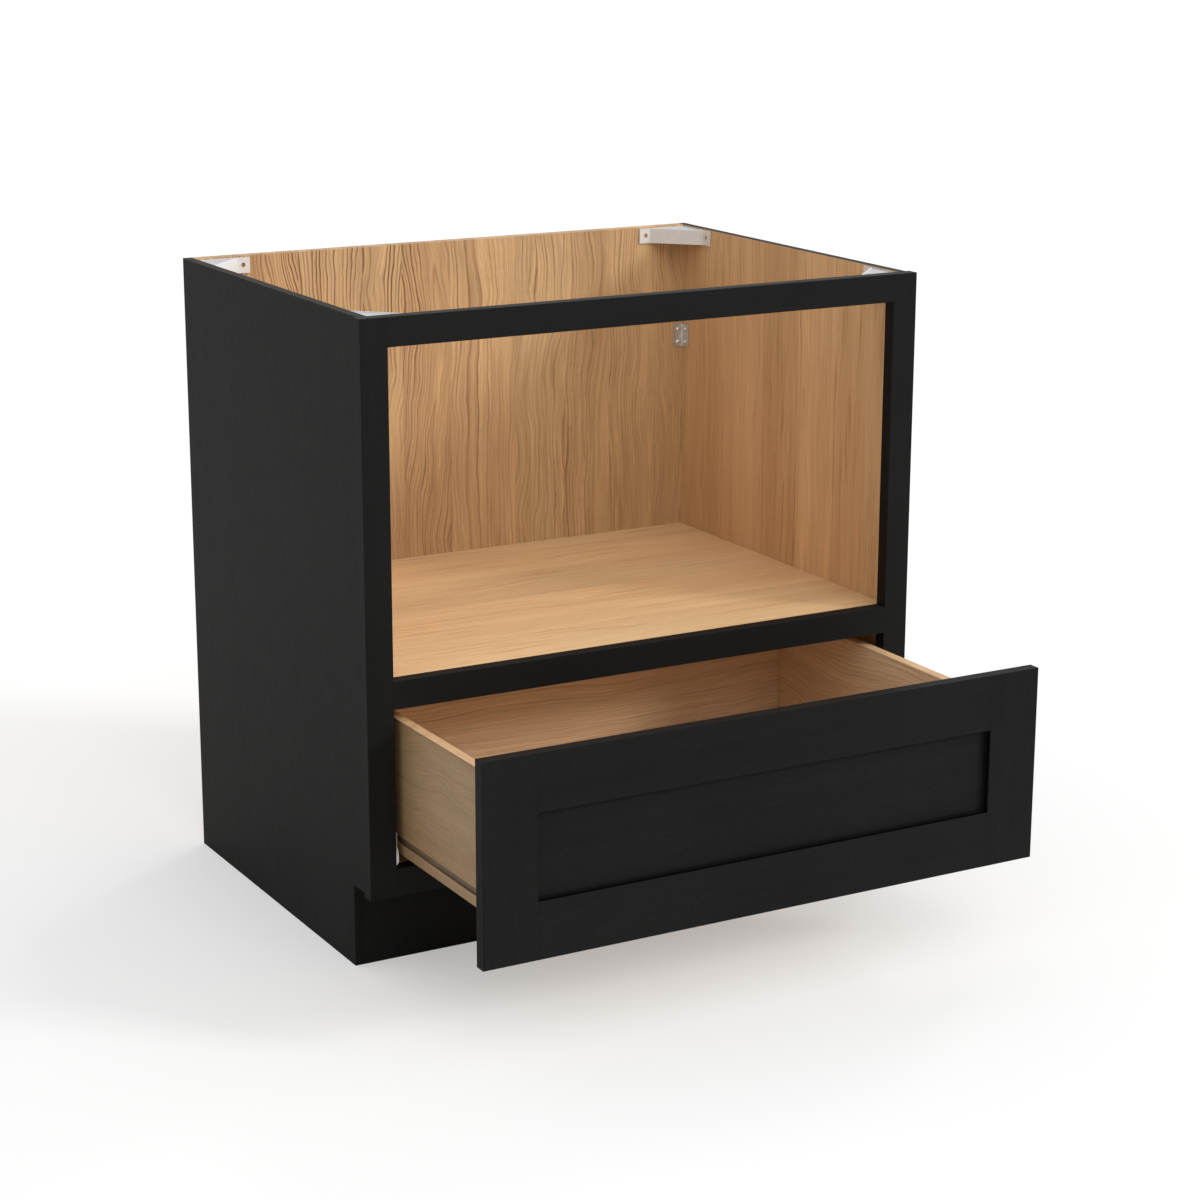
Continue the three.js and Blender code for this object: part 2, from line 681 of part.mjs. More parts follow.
// The fixed member: a flange screwed inside the stile, with a channel along its foot. At the front
// only the flange goes on, and its edge is folded in.
function cabinetMember(side) {
  const x = (inset) => side * (flangeOuter - inset);
  const z = (rise) => slideBottom + rise;
  const channelRear = channelInset + channelWidth;
  const section = [
    [x(0), z(0)], [x(0), z(flangeHeight)], [x(sheet), z(flangeHeight)], [x(sheet), z(sheet)],
    [x(channelInset), z(sheet)], [x(channelInset), z(channelHeight)],
    [x(channelInset + channelLip), z(channelHeight)],
    [x(channelInset + channelLip), z(channelHeight - sheet)],
    [x(channelInset + sheet), z(channelHeight - sheet)], [x(channelInset + sheet), z(sheet)],
    [x(channelRear - sheet), z(sheet)], [x(channelRear - sheet), z(channelHeight - sheet)],
    [x(channelRear - channelLip), z(channelHeight - sheet)],
    [x(channelRear - channelLip), z(channelHeight)], [x(channelRear), z(channelHeight)],
    [x(channelRear), z(0)],
  ];
  const flange = block([x(0), x(sheet)], [slideSetback, slideSetback + slideNotch * 2],
    [z(sheet), z(flangeHeight)]);
  const neck = [lipNeckRise, lipNeckRise + sheet * 2];
  const lip = alongY([
    [x(0), z(sheet)], [x(lipWidth * 0.6), z(sheet)], [x(lipWidth), z(lipWidth)],
    [x(lipWidth), z(neck[0] - lipWidth)], [x(lipNeckWidth), z(neck[0])],
    [x(lipNeckWidth), z(flangeHeight - lipNeckWidth)], [x(sheet), z(flangeHeight)],
    [x(0), z(flangeHeight)],
  ], slideSetback, slideSetback + sheet);
  return join(alongY(section, slideSetback + slideNotch, slideRear), flange, lip);
}

function middleMember(side) {
  const x = (offset) => side * (slideCentre + offset);
  const half = middleWidth / 2;
  const web = sheet / 2;
  return alongY([
    [x(-half), middleBottom], [x(half), middleBottom], [x(half), middleBottom + sheet],
    [x(web), middleBottom + sheet], [x(web), middleTop - sheet], [x(half), middleTop - sheet],
    [x(half), middleTop], [x(-half), middleTop], [x(-half), middleTop - sheet],
    [x(-web), middleTop - sheet], [x(-web), middleBottom + sheet],
    [x(-half), middleBottom + sheet],
  ], drawerMemberFront + middleSetback, slideRear - middleRearSetback);
}

// The moving member carries the box bottom and hooks under the middle member's upper flange. The
// wall next to the lock has a slot for the lever's tooth.
function drawerMember(side) {
  const x = (offset) => side * (slideCentre + offset);
  const half = drawerMemberWidth / 2;
  const wall = half - sheet;
  const lip = half - drawerMemberLip;
  const top = drawerMemberTop;
  const bottom = drawerMemberBottom;
  const section = alongY([
    [x(-half), top], [x(half), top], [x(half), bottom], [x(lip), bottom],
    [x(lip), bottom + sheet], [x(wall), bottom + sheet], [x(wall), top - sheet],
    [x(-wall), top - sheet], [x(-wall), bottom + sheet], [x(-lip), bottom + sheet],
    [x(-lip), bottom], [x(-half), bottom],
  ], drawerMemberFront, boxRear);
  const slotReach = leverToothReach + sheet;
  const toothSlot = block(
    [x(-half - sheet), x(-half + slotReach)],
    [leverToothY - toothSlotLength / 2, leverToothY + toothSlotLength / 2],
    [bottom - sheet, leverTop + seatGap]);
  return cut(section, toothSlot);
}

// A strip of plastic that spaces a row of steel rollers, made here as one piece.
function rollerCage(side, radius, height0, start) {
  const x = (offset) => side * (slideCentre + offset);
  const strip = block([x(-cageWidth / 2), x(cageWidth / 2)], [start, start + cageLength],
    [height0 - cageThickness / 2, height0 + cageThickness / 2]);
  const count = Math.floor((cageLength - 2 * rollerEndMargin) / rollerPitch) + 1;
  const spread = (count - 1) * rollerPitch;
  const first = start + (cageLength - spread) / 2;
  const rollers = Array.from({ length: count }, (_, i) => rod(
    'x', radius, [x(-rollerLength / 2), x(rollerLength / 2)], [first + i * rollerPitch, height0], 10));
  return join(strip, ...rollers);
}

// Bent plate that carries the rear end of the cabinet member on the back panel.
function rearBracket(side) {
  const x = (inset) => side * (flangeOuter - sheet - seatGap - inset);
  const rear = backInner - seatGap;
  const foot = rear - rearBracketSheet;
  const bottom = slideBottom + sheet + seatGap;
  const top = bottom + rearBracketHeight;
  const angle = alongZ([
    [x(0), slideRear - rearBracketOverlap], [x(0), rear], [x(rearBracketFoot), rear],
    [x(rearBracketFoot), foot], [x(rearBracketSheet), foot],
    [x(rearBracketSheet), slideRear - rearBracketOverlap],
  ], bottom, top);
  const middle = (bottom + top) / 2;
  const holes = [-1, 1].map((row) => rod('y', rearBracketHoleRadius, [foot - sheet, rear + sheet],
    [x(rearBracketFoot / 2), middle + row * rearBracketHolePitch / 2], 14));
  return cut(angle, ...holes);
}

// ---- Front locks -------------------------------------------------------------------------------

// Plastic body screwed under the box's front corner, with a pin for its lever.
function frontLock(side) {
  const x = (inset) => side * (lockOuter - inset);
  const y = (back) => drawerMemberFront + back;
  const chamfer = lockHeight;
  const body = alongZ([
    [x(0), y(0)], [x(lockWidth), y(0)], [x(lockWidth), y(lockLength - chamfer)],
    [x(lockWidth - chamfer), y(lockLength)], [x(0), y(lockLength)],
  ], lockTop - lockHeight, lockTop);
  const pin = rod('z', leverPinRadius,
    [leverTop - leverThickness, lockTop - lockHeight / 2], [side * leverPinX, leverPinY], 16);
  return join(body, pin);
}

// The lever turns on the pin. Pulling its pad towards the drawer's middle draws its tooth out of
// the drawer member.
function releaseLever(side) {
  const x = (offset) => side * (leverPinX + offset);
  const y = (offset) => leverPinY + offset;
  const bottom = leverTop - leverThickness;
  const eye = rod('z', leverEyeRadius, [bottom, leverTop], [x(0), y(0)], 24);
  const arm = block([x(-leverArmWidth / 2), x(leverArmWidth / 2)], [y(0), y(-leverArm)],
    [bottom, leverTop]);
  const padReach = leverArmWidth / 2 + leverPadLength / 2;
  const pad = alongZ([
    [x(leverArmWidth / 2), y(-leverArm)], [x(-padReach), y(-leverArm)],
    [x(-padReach), y(-leverArm + leverArmWidth)], [x(-leverArmWidth / 2), y(-leverArm / 2)],
    [x(leverArmWidth / 2), y(-leverArm / 2)],
  ], bottom, leverTop);
  const toothTip = lockOuter + seatGap + leverToothReach - leverPinX;
  const tooth = alongZ([
    [x(0), leverToothY - leverToothWidth], [x(toothTip), leverToothY - leverToothWidth / 2],
    [x(toothTip), leverToothY + leverToothWidth / 2], [x(0), leverToothY + leverToothWidth],
  ], bottom, leverTop);
  const bore = rod('z', leverPinRadius + seatGap, [bottom - sheet, leverTop + sheet],
    [x(0), y(0)], 16);
  return cut(join(eye, arm, pad, tooth), bore);
}

// ---- Assembly ----------------------------------------------------------------------------------

function buildCarcass() {
  const carcass = new THREE.Group();
  const backHoles = Object.values(SIDES).flatMap(clipPilotHoles);
  addPiece(carcass, 'back_panel', cut(backPanel(), ...backHoles), oak());
  addPiece(carcass, 'microwave_shelf', deck(shelfTop, shelfThickness), oak());
  addPiece(carcass, 'cabinet_floor', deck(floorTop, floorThickness), oak());
  addPiece(carcass, 'toe_kick_board', toeBoard(), blackPaint());
  addPiece(carcass, 'top_rail', rail(railBottoms.top_rail), blackPaint());
  addPiece(carcass, 'middle_rail', rail(railBottoms.middle_rail, shelfTop, shelfThickness),
    blackPaint());
  addPiece(carcass, 'bottom_rail', rail(railBottoms.bottom_rail, floorTop, floorThickness),
    blackPaint());
  for (const [name, side] of Object.entries(SIDES)) {
    const panel = cut(sidePanel(side), ...clipPilotHoles(side));
    addPiece(carcass, `${name}_side_panel`, panel, blackPaint());
    addPiece(carcass, `${name}_stile`, stile(side), blackPaint());
    addPiece(carcass, `${name}_front_corner_bracket`, cornerBracket(side, frameThickness, 1),
      whitePlastic());
    addPiece(carcass, `${name}_rear_corner_bracket`, cornerBracket(side, backInner, -1),
      whitePlastic());
    addPiece(carcass, `${name}_corner_clip`, cornerClip(side), zinc());
    clipScrews(carcass, side, name);
    addPiece(carcass, `${name}_slide_cabinet_member`, cabinetMember(side), zinc());
    addPiece(carcass, `${name}_slide_rear_bracket`, rearBracket(side), zinc());
  }
  return carcass;
}

function buildDrawer() {
  const drawer = new THREE.Group();
  const screwHoles = frontScrewHoles();
  addPiece(drawer, 'drawer_front_panel', frontPanel(), blackPaint());
  addPiece(drawer, 'drawer_front_top_rail', cut(frontRail(-1), ...screwHoles), blackPaint());
  addPiece(drawer, 'drawer_front_bottom_rail', cut(frontRail(1), ...screwHoles), blackPaint());
  addPiece(drawer, 'drawer_box_front', cut(boxEnd(boxFront, 1), ...screwHoles), boxWood());
  addPiece(drawer, 'drawer_box_back', boxBack(), boxWood());
  addPiece(drawer, 'drawer_box_bottom', boxBottomPanel(), boxWood());
  for (const [name, side] of Object.entries(SIDES)) {
    addPiece(drawer, `drawer_front_${name}_stile`, frontStile(side), blackPaint());
    addPiece(drawer, `drawer_box_${name}_side`, boxSide(side), boxWood());
    addPiece(drawer, `${name}_slide_drawer_member`, drawerMember(side), zinc());
    addPiece(drawer, `${name}_front_lock`, frontLock(side), greyPlastic());
    addPiece(drawer, `${name}_release_lever`, releaseLever(side), greyPlastic());
  }
  frontScrews(drawer);
  bumpers(drawer);
  return drawer;
}

function buildMiddleMembers() {
  const middle = new THREE.Group();
  for (const [name, side] of Object.entries(SIDES)) {
    addPiece(middle, `${name}_slide_middle_member`, middleMember(side), zinc());
  }
  return middle;
}

function buildCages(level, radius, height0, start) {
  const cages = new THREE.Group();
  for (const [name, side] of Object.entries(SIDES)) {
    addPiece(cages, `${name}_${level}_roller_cage`, rollerCage(side, radius, height0, start),
      whitePlastic());
  }
  return cages;
}

const carcass = buildCarcass();
const drawer = buildDrawer();
const middleMembers = buildMiddleMembers();
const lowerCages = buildCages(
  'lower', lowerRollerRadius, (slideBottom + sheet + middleBottom) / 2, lowerCageStart);
const upperCages = buildCages(
  'upper', upperRollerRadius, (middleTop + drawerMemberTop - sheet) / 2, upperCageStart);

drawer.position.y = -drawerOut;
middleMembers.position.y = -drawerOut * middleLag;
lowerCages.position.y = -drawerOut * cageLag.lower;
upperCages.position.y = -drawerOut * cageLag.upper;

// The origin is on the floor, in the middle of the back panel's lower edge.
const cabinet = new THREE.Group();
cabinet.add(carcass, drawer, middleMembers, lowerCages, upperCages);
cabinet.position.y = -(depth - backThickness / 2);

export default cabinet;
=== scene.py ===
import json
import math

import bmesh
import bpy
from mathutils import Matrix, Vector


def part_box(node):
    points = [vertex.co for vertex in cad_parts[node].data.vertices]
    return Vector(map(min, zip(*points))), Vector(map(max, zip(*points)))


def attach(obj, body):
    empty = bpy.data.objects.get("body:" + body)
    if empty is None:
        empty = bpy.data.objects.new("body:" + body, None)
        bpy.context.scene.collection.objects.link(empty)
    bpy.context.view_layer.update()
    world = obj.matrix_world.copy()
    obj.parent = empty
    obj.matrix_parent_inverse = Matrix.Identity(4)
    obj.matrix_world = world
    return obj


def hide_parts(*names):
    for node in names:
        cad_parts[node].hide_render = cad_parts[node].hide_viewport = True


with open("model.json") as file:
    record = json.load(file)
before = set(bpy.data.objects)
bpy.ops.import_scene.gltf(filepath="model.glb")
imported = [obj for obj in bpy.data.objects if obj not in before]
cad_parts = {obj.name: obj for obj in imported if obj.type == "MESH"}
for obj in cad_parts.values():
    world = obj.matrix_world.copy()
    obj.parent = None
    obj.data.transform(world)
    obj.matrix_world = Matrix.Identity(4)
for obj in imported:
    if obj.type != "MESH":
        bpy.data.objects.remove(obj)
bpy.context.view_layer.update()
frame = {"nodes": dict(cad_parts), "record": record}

NODES = frame["nodes"]
BODY_OF = {node: body for body, nodes in frame["record"]["behaviour"]["bodies"].items()
           for node in nodes}
SIDES = {"left": -1, "right": 1}
AXES = {"x": 0, "y": 1, "z": 2}
MM = 0.001


# ---- Colours -----------------------------------------------------------------------------------

def srgb(red, green, blue):
    """A colour in 0 to 255 as the linear values that shaders take."""
    def linear(value):
        value /= 255
        return value / 12.92 if value <= 0.04045 else ((value + 0.055) / 1.055) ** 2.4
    return (linear(red), linear(green), linear(blue), 1)


def scaled(colour, factor):
    return (*[part * factor for part in colour[:3]], 1)


WHITE = (1, 1, 1, 1)

# A light and a dark tone for each kind of wood surface.
BACK_TONES = srgb(205, 167, 121), srgb(116, 70, 37)
WALL_TONES = srgb(217, 180, 136), srgb(154, 108, 69)
SHELF_TONES = srgb(230, 193, 146), srgb(197, 145, 102)
BOX_TONES = srgb(229, 197, 160), srgb(152, 112, 79)
# Painted shade: darker copies of the box's tones on the drawer sides' outer faces, and a dark tone
# in the line routed along them.
BOX_OUTSIDE_SHADED_TONES = srgb(155, 128, 92), srgb(116, 86, 57)
GROOVE_PAINTED_SHADE = srgb(92, 75, 58)
# What a board's hue is multiplied by, from the warmest board to the coolest.
BOARD_HUES = (1.015, 0.99, 0.96, 1), (0.985, 1.005, 1.01, 1)
# Painted light: a warmer tint on the top edges of the drawer box boards, which the lamps light
# directly.
TOP_EDGE_PAINTED_LIGHT = (1.0, 0.91, 0.78, 1)

BLACK = (0.0095, 0.0095, 0.0092, 1)
# Painted reflection: a brown line along the side panels' top outer arris.
ARRIS_PAINTED_REFLECTION = srgb(58, 48, 38)
# Painted shade on the side panels: what their paint takes from the black of the front.
SIDE_PAINTED_SHADE = (0.86, 0.86, 0.83, 1)
# Painted shade: the black of the flat faces and of the walls in the drawer front's moulding, darker
# than the paint of the front.
MOULDING_FACE_PAINTED_SHADE, MOULDING_WALL_PAINTED_SHADE = scaled(BLACK, 0.5), scaled(BLACK, 0.3)

PLASTIC_TONE = srgb(214, 211, 208)
PLATE_TONE = srgb(184, 187, 191)
GREY_TONE = srgb(112, 114, 116)
ZINC_TONES = srgb(196, 194, 190), srgb(210, 208, 204)
NICKEL_TONES = srgb(222, 221, 218), srgb(236, 235, 232)
RUBBER_TONES = srgb(200, 200, 196), srgb(225, 225, 222)
FLOOR_TONE = (0.955, 0.955, 0.95, 1)


# ---- Node helpers ------------------------------------------------------------------------------

# Between these values lies nearly all of a noise.
NOISE_LOW, NOISE_HIGH = 0.3, 0.7


class Shader:
    """A material and short ways to add nodes to it."""

    def __init__(self, name):
        self.material = bpy.data.materials.new(name)
        self.material.use_nodes = True
        self.tree = self.material.node_tree
        self.tree.nodes.clear()
        self.output = self.tree.nodes.new("ShaderNodeOutputMaterial")
        self.surface = self.tree.nodes.new("ShaderNodeBsdfPrincipled")
        self.link(self.surface.outputs[0], self.output.inputs[0])
        self.coords = self.tree.nodes.new("ShaderNodeTexCoord").outputs["Object"]

    def link(self, source, target):
        self.tree.links.new(source, target)

    def put(self, socket, value):
        if isinstance(value, bpy.types.NodeSocket):
            self.link(value, socket)
        else:
            socket.default_value = value

    def math(self, operation, a, b=0.0, c=0.0, clamp=False):
        node = self.tree.nodes.new("ShaderNodeMath")
        node.operation = operation
        node.use_clamp = clamp
        for socket, value in zip(node.inputs, (a, b, c)):
            self.put(socket, value)
        return node.outputs[0]

    def product(self, *values):
        result = values[0]
        for value in values[1:]:
            result = self.math("MULTIPLY", result, value)
        return result

    def above(self, value, limit):
        """1 where the value is above the limit, otherwise 0."""
        return self.math("GREATER_THAN", value, limit)

    def below(self, value, limit):
        """1 where the value is below the limit, otherwise 0."""
        return self.math("LESS_THAN", value, limit)

    def between(self, value, low, high):
        """1 where the value lies between two limits, otherwise 0."""
        return self.product(self.above(value, low), self.below(value, high))

    def split(self, vector):
        node = self.tree.nodes.new("ShaderNodeSeparateXYZ")
        self.link(vector, node.inputs[0])
        return node.outputs

    def join(self, x, y, z=0.0):
        node = self.tree.nodes.new("ShaderNodeCombineXYZ")
        for socket, value in zip(node.inputs, (x, y, z)):
            self.put(socket, value)
        return node.outputs[0]

    def facing(self, axis, sign=1):
        """How far the surface faces along an axis of the object, or against it, from -1 to 1."""
        normal = self.tree.nodes.new("ShaderNodeNewGeometry").outputs["True Normal"]
        local = self.tree.nodes.new("ShaderNodeVectorTransform")
        local.vector_type = "NORMAL"
        local.convert_from, local.convert_to = "WORLD", "OBJECT"
        self.link(normal, local.inputs[0])
        return self.math("MULTIPLY", self.split(local.outputs[0])[AXES[axis]], sign)

    def noise(self, vector, scale, detail=2.0, roughness=0.5):
        node = self.tree.nodes.new("ShaderNodeTexNoise")
        self.put(node.inputs["Vector"], vector)
        self.put(node.inputs["Scale"], scale)
        node.inputs["Detail"].default_value = detail
        node.inputs["Roughness"].default_value = roughness
        return node.outputs["Fac"]

    def drawn_noise(self, along, scale_along, scale_across, detail=2.0):
        """Noise that is drawn out along an axis of the object."""
        place = [self.math("MULTIPLY", part, scale_along if axis == along else scale_across)
                 for axis, part in zip(AXES, self.split(self.coords))]
        return self.noise(self.join(*place), 1.0, detail)

    def boards(self, position, width, irregularity=0.6):
        """Of boards side by side: three random numbers each, the middle, and the way to a joint."""
        outputs = []
        for feature in ("F1", "DISTANCE_TO_EDGE"):
            node = self.tree.nodes.new("ShaderNodeTexVoronoi")
            node.voronoi_dimensions = "1D"
            node.feature = feature
            self.put(node.inputs["W"], position)
            node.inputs["Scale"].default_value = 1 / width
            node.inputs["Randomness"].default_value = irregularity
            outputs.append(node.outputs)
        parts = self.tree.nodes.new("ShaderNodeSeparateColor")
        self.link(outputs[0]["Color"], parts.inputs[0])
        return list(parts.outputs), outputs[0]["W"], outputs[1]["Distance"]

    def chance(self, value):
        """A random number for each value."""
        node = self.tree.nodes.new("ShaderNodeTexWhiteNoise")
        node.noise_dimensions = "1D"
        self.put(node.inputs["W"], value)
        return node.outputs["Value"]

    def range(self, value, low, high, to_low=0.0, to_high=1.0):
        """Maps one range to another and holds the result inside it."""
        node = self.tree.nodes.new("ShaderNodeMapRange")
        node.clamp = True
        for name, number in (("From Min", low), ("From Max", high),
                             ("To Min", to_low), ("To Max", to_high)):
            node.inputs[name].default_value = number
        self.put(node.inputs["Value"], value)
        return node.outputs[0]

    def spread(self, noise, low=0.0, high=1.0):
        """Maps a noise to the range from low to high."""
        return self.range(noise, NOISE_LOW, NOISE_HIGH, low, high)

    def mix(self, factor, a, b, blend="MIX"):
        node = self.tree.nodes.new("ShaderNodeMix")
        node.data_type = "RGBA"
        node.blend_type = blend
        self.put(node.inputs[0], factor)
        self.put(node.inputs[6], a)
        self.put(node.inputs[7], b)
        return node.outputs[2]

    def tinted(self, colour, tint):
        return self.mix(1.0, colour, tint, "MULTIPLY")

    def shaded(self, colour, factor):
        return self.tinted(colour, self.join(factor, factor, factor))

    def bump(self, height, strength, distance, normal=None):
        node = self.tree.nodes.new("ShaderNodeBump")
        node.inputs["Strength"].default_value = strength
        node.inputs["Distance"].default_value = distance
        self.put(node.inputs["Height"], height)
        if normal is not None:
            self.link(normal, node.inputs["Normal"])
        return node.outputs[0]

    def set(self, **values):
        """Sets sockets of the surface shader; names use _ for a space."""
        for name, value in values.items():
            self.put(self.surface.inputs[name.replace("_", " ")], value)
        return self.material


# ---- Wood --------------------------------------------------------------------------------------

# How far the grain wanders sideways: scale across, scale along, and the amount in metres.
WANDER = ((2.5, 1.6, 0.110), (8.0, 5.0, 0.060), (24.0, 13.0, 0.019), (90.0, 36.0, 0.0045))

# Layers of noise that are drawn out along the grain: scale across, scale along, detail,
# roughness, and whether the layer follows the wandering of the grain.
LAYERS = {"fading": (7.0, 1.8, 2.0, 0.5, False),
          "streaks": (170.0, 7.0, 3.0, 0.6, True), "streaked": (9.0, 4.0, 2.0, 0.5, False),
          "pores": (1250.0, 60.0, 1.0, 0.5, True), "porous": (14.0, 5.0, 1.0, 0.5, False),
          "fibre": (430.0, 8.0, 3.0, 0.65, True),
          "cloud": (26.0, 1.6, 3.0, 0.5, False), "patch": (5.0, 1.3, 2.0, 0.5, False)}

# How far apart the noises of two boards can lie.
BOARD_SHIFT = 17.3
# How far from the tree's middle a board was cut at most, in widths of the board.
OFF_CENTRE = 1.1
# How fast the growth rings widen and narrow again across a board, and by how many rings.
RING_DRIFT, RING_DRIFT_AMOUNT = 45.0, 2.0
# The dark late wood of a ring grows towards this share of it and ends sharply.
LATE_PEAK, LATE_POWER = 0.86, 4.0
# How near to a joint of two boards its line shows, in widths of a board.
JOINT_WIDTH = 0.012

WOOD_SHEEN = 0.35
WOOD_RELIEF = 0.4 * MM


def wood_pattern(shader, along, across, board=0.085, ring=0.0055, wave=1.0, seed=0.0,
                 emphasis=1.0):
    """The figure of flat-sawn boards: growth rings cut at a slant, streaks, fibre and pores.

    along is the axis of the grain and across the axis over which the boards lie side by side.
    board is a board's width and ring that of a growth ring, in metres. wave is how much the
    grain wanders, and emphasis how strongly its dark lines show.
    """
    def layer(source, scale_across, scale_along, detail=1.0, roughness=0.5):
        place = shader.join(shader.math("MULTIPLY_ADD", source, scale_across, shift),
                            shader.math("MULTIPLY_ADD", v, scale_along, shift),
                            shader.math("MULTIPLY", w, scale_across))
        return shader.noise(place, 1.0, detail, roughness)

    parts = shader.split(shader.coords)
    depth = next(axis for axis in AXES if axis not in (along, across))
    u = shader.math("ADD", parts[AXES[across]], seed)
    v = parts[AXES[along]]
    w = parts[AXES[depth]]
    (one, two, three), middle, joint = shader.boards(u, board)
    shift = shader.math("MULTIPLY", one, BOARD_SHIFT)

    figure = shader.range(two, 0.0, 1.0, 0.35 * wave, 1.1 * wave)
    bent = u
    for scale_across, scale_along, amount in WANDER:
        offset = shader.math("SUBTRACT", layer(u, scale_across, scale_along), 0.5)
        bent = shader.math("ADD", bent, shader.product(offset, figure, amount))

    # The distance from the tree's middle: sideways, and in depth, which changes along the board.
    centre = shader.math("ADD", shader.math("SUBTRACT", bent, middle),
                         shader.range(three, 0.0, 1.0, -OFF_CENTRE * board, OFF_CENTRE * board))
    rise = shader.math("MULTIPLY_ADD", v, shader.range(one, 0.0, 1.0, -0.05, 0.05),
                       shader.range(two, 0.0, 1.0, 0.010, 0.030))
    radius = shader.math("SQRT", shader.math("ADD", shader.math("MULTIPLY", centre, centre),
                                             shader.math("MULTIPLY", rise, rise)))
    drift = shader.noise(shader.join(shader.math("MULTIPLY_ADD", radius, RING_DRIFT, shift),
                                     shift), 1.0)
    rings = shader.math("MULTIPLY_ADD", drift, RING_DRIFT_AMOUNT,
                        shader.math("DIVIDE", radius, ring))
    phase = shader.math("FRACT", rings)
    board_number = shader.math("FLOOR", shader.math("MULTIPLY", shift, 99.0))
    each = shader.chance(shader.math("ADD", shader.math("FLOOR", rings), board_number))

    layers = {name: layer(bent if follows else u, *scales)
              for name, (*scales, follows) in LAYERS.items()}
    late = shader.product(emphasis, shader.math("POWER", phase, LATE_POWER),
                          shader.range(phase, LATE_PEAK, 1.0, 1.0, 0.0),
                          shader.range(each, 0.0, 1.0, 0.2, 1.6),
                          shader.range(layers["fading"], 0.36, 0.60, 0.3, 1.0))
    streaks = shader.product(shader.range(layers["streaks"], 0.53, 0.70),
                             shader.range(layers["streaked"], 0.40, 0.62))
    pores = shader.product(shader.range(layers["pores"], 0.60, 0.74),
                           shader.range(layers["porous"], 0.42, 0.60))
    return {"late": late, "pores": pores, "streaks": streaks, "fibre": layers["fibre"],
            "cloud": layers["cloud"], "patch": layers["patch"], "board": three, "hue": one,
            "gap": shader.range(joint, 0.0, JOINT_WIDTH, 1.0, 0.0)}


def wood_colour(shader, pattern, tones, contrast=1.0, patchy=0.3, streaky=0.3):
    """A wood pattern's colour, from how strong its lines, patches and streaks are."""
    light, dark = tones
    middle = [a * (1 - patchy) + b * patchy for a, b in zip(light, dark)]
    base = shader.mix(shader.range(pattern["cloud"], 0.32, 0.68), light, middle)
    lines = shader.math("MULTIPLY_ADD", pattern["late"], contrast,
                        shader.math("MULTIPLY", pattern["streaks"], streaky), clamp=True)
    toned = shader.tinted(shader.mix(lines, base, dark),
                          shader.mix(pattern["hue"], *BOARD_HUES))
    return shader.shaded(toned, shader.product(
        shader.range(pattern["fibre"], 0.25, 0.75, 1 - 0.27 * contrast, 1 + 0.20 * contrast),
        shader.range(pattern["board"], 0.0, 1.0, 0.965, 1.035),
        shader.spread(pattern["patch"], 1 - 0.2 * patchy, 1 + 0.1 * patchy),
        shader.range(pattern["pores"], 0.0, 1.0, 1.0, 1 - 0.35 * contrast),
        shader.range(pattern["gap"], 0.0, 1.0, 1.0, 0.92)))


def wood_height(shader, pattern):
    """The relief of the grain: late wood and pores lie lower."""
    return shader.math("MULTIPLY_ADD", pattern["late"], -0.6,
                       shader.math("MULTIPLY", pattern["pores"], -1.0))


def set_wood(shader, pattern, colour):
    """Clear-finished wood of a pattern and a colour."""
    varnish = shader.noise(shader.coords, 90.0)
    return shader.set(Base_Color=colour, Roughness=shader.spread(varnish, 0.46, 0.60),
                      Specular_IOR_Level=WOOD_SHEEN,
                      Normal=shader.bump(wood_height(shader, pattern), 0.25, WOOD_RELIEF))


def deck_wood(name, tones, contrast, patchy=0.3, streaky=0.3, **shape):
    """A level board with its grain from side to side."""
    shader = Shader(name)
    pattern = wood_pattern(shader, "x", "y", **shape)
    return set_wood(shader, pattern,
                    wood_colour(shader, pattern, tones, contrast, patchy, streaky))


def back_wood(name):
    """The back's boards, whose grain stands out most at the top and on the left."""
    shader = Shader(name)
    low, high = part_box("back_panel")
    x, _, z = shader.split(shader.coords)
    emphasis = shader.product(shader.range(x, low.x, high.x, 1.2, 0.8),
                              shader.range(z, high.z - 0.18, high.z - 0.06, 1.0, 1.7))
    pattern = wood_pattern(shader, "z", "x", seed=0.4, emphasis=emphasis)
    return set_wood(shader, pattern, wood_colour(shader, pattern, BACK_TONES))


def painted_light_on_top(shader, colour):
    """The colour of a drawer box board, with painted light on its top edge: warmer there."""
    upper = shader.above(shader.facing("z"), 0.9)
    return shader.tinted(colour, shader.mix(upper, WHITE, TOP_EDGE_PAINTED_LIGHT))


def box_end_wood(name):
    """The drawer box's front and back boards."""
    shader = Shader(name)
    pattern = wood_pattern(shader, "x", "z", board=0.3, seed=5.2)
    colour = wood_colour(shader, pattern, BOX_TONES, 0.8)
    return set_wood(shader, pattern, painted_light_on_top(shader, colour))


# A face belongs to a board's broad side if it lies no deeper than this.
SKIN = 6 * MM
# Where the painted shade in a drawer side's routed line lies: in from the side, and above its lower
# edge.
ROUTED_DEPTHS = 0.3 * MM, 5 * MM
ROUTED_HEIGHTS = 10 * MM, 30 * MM


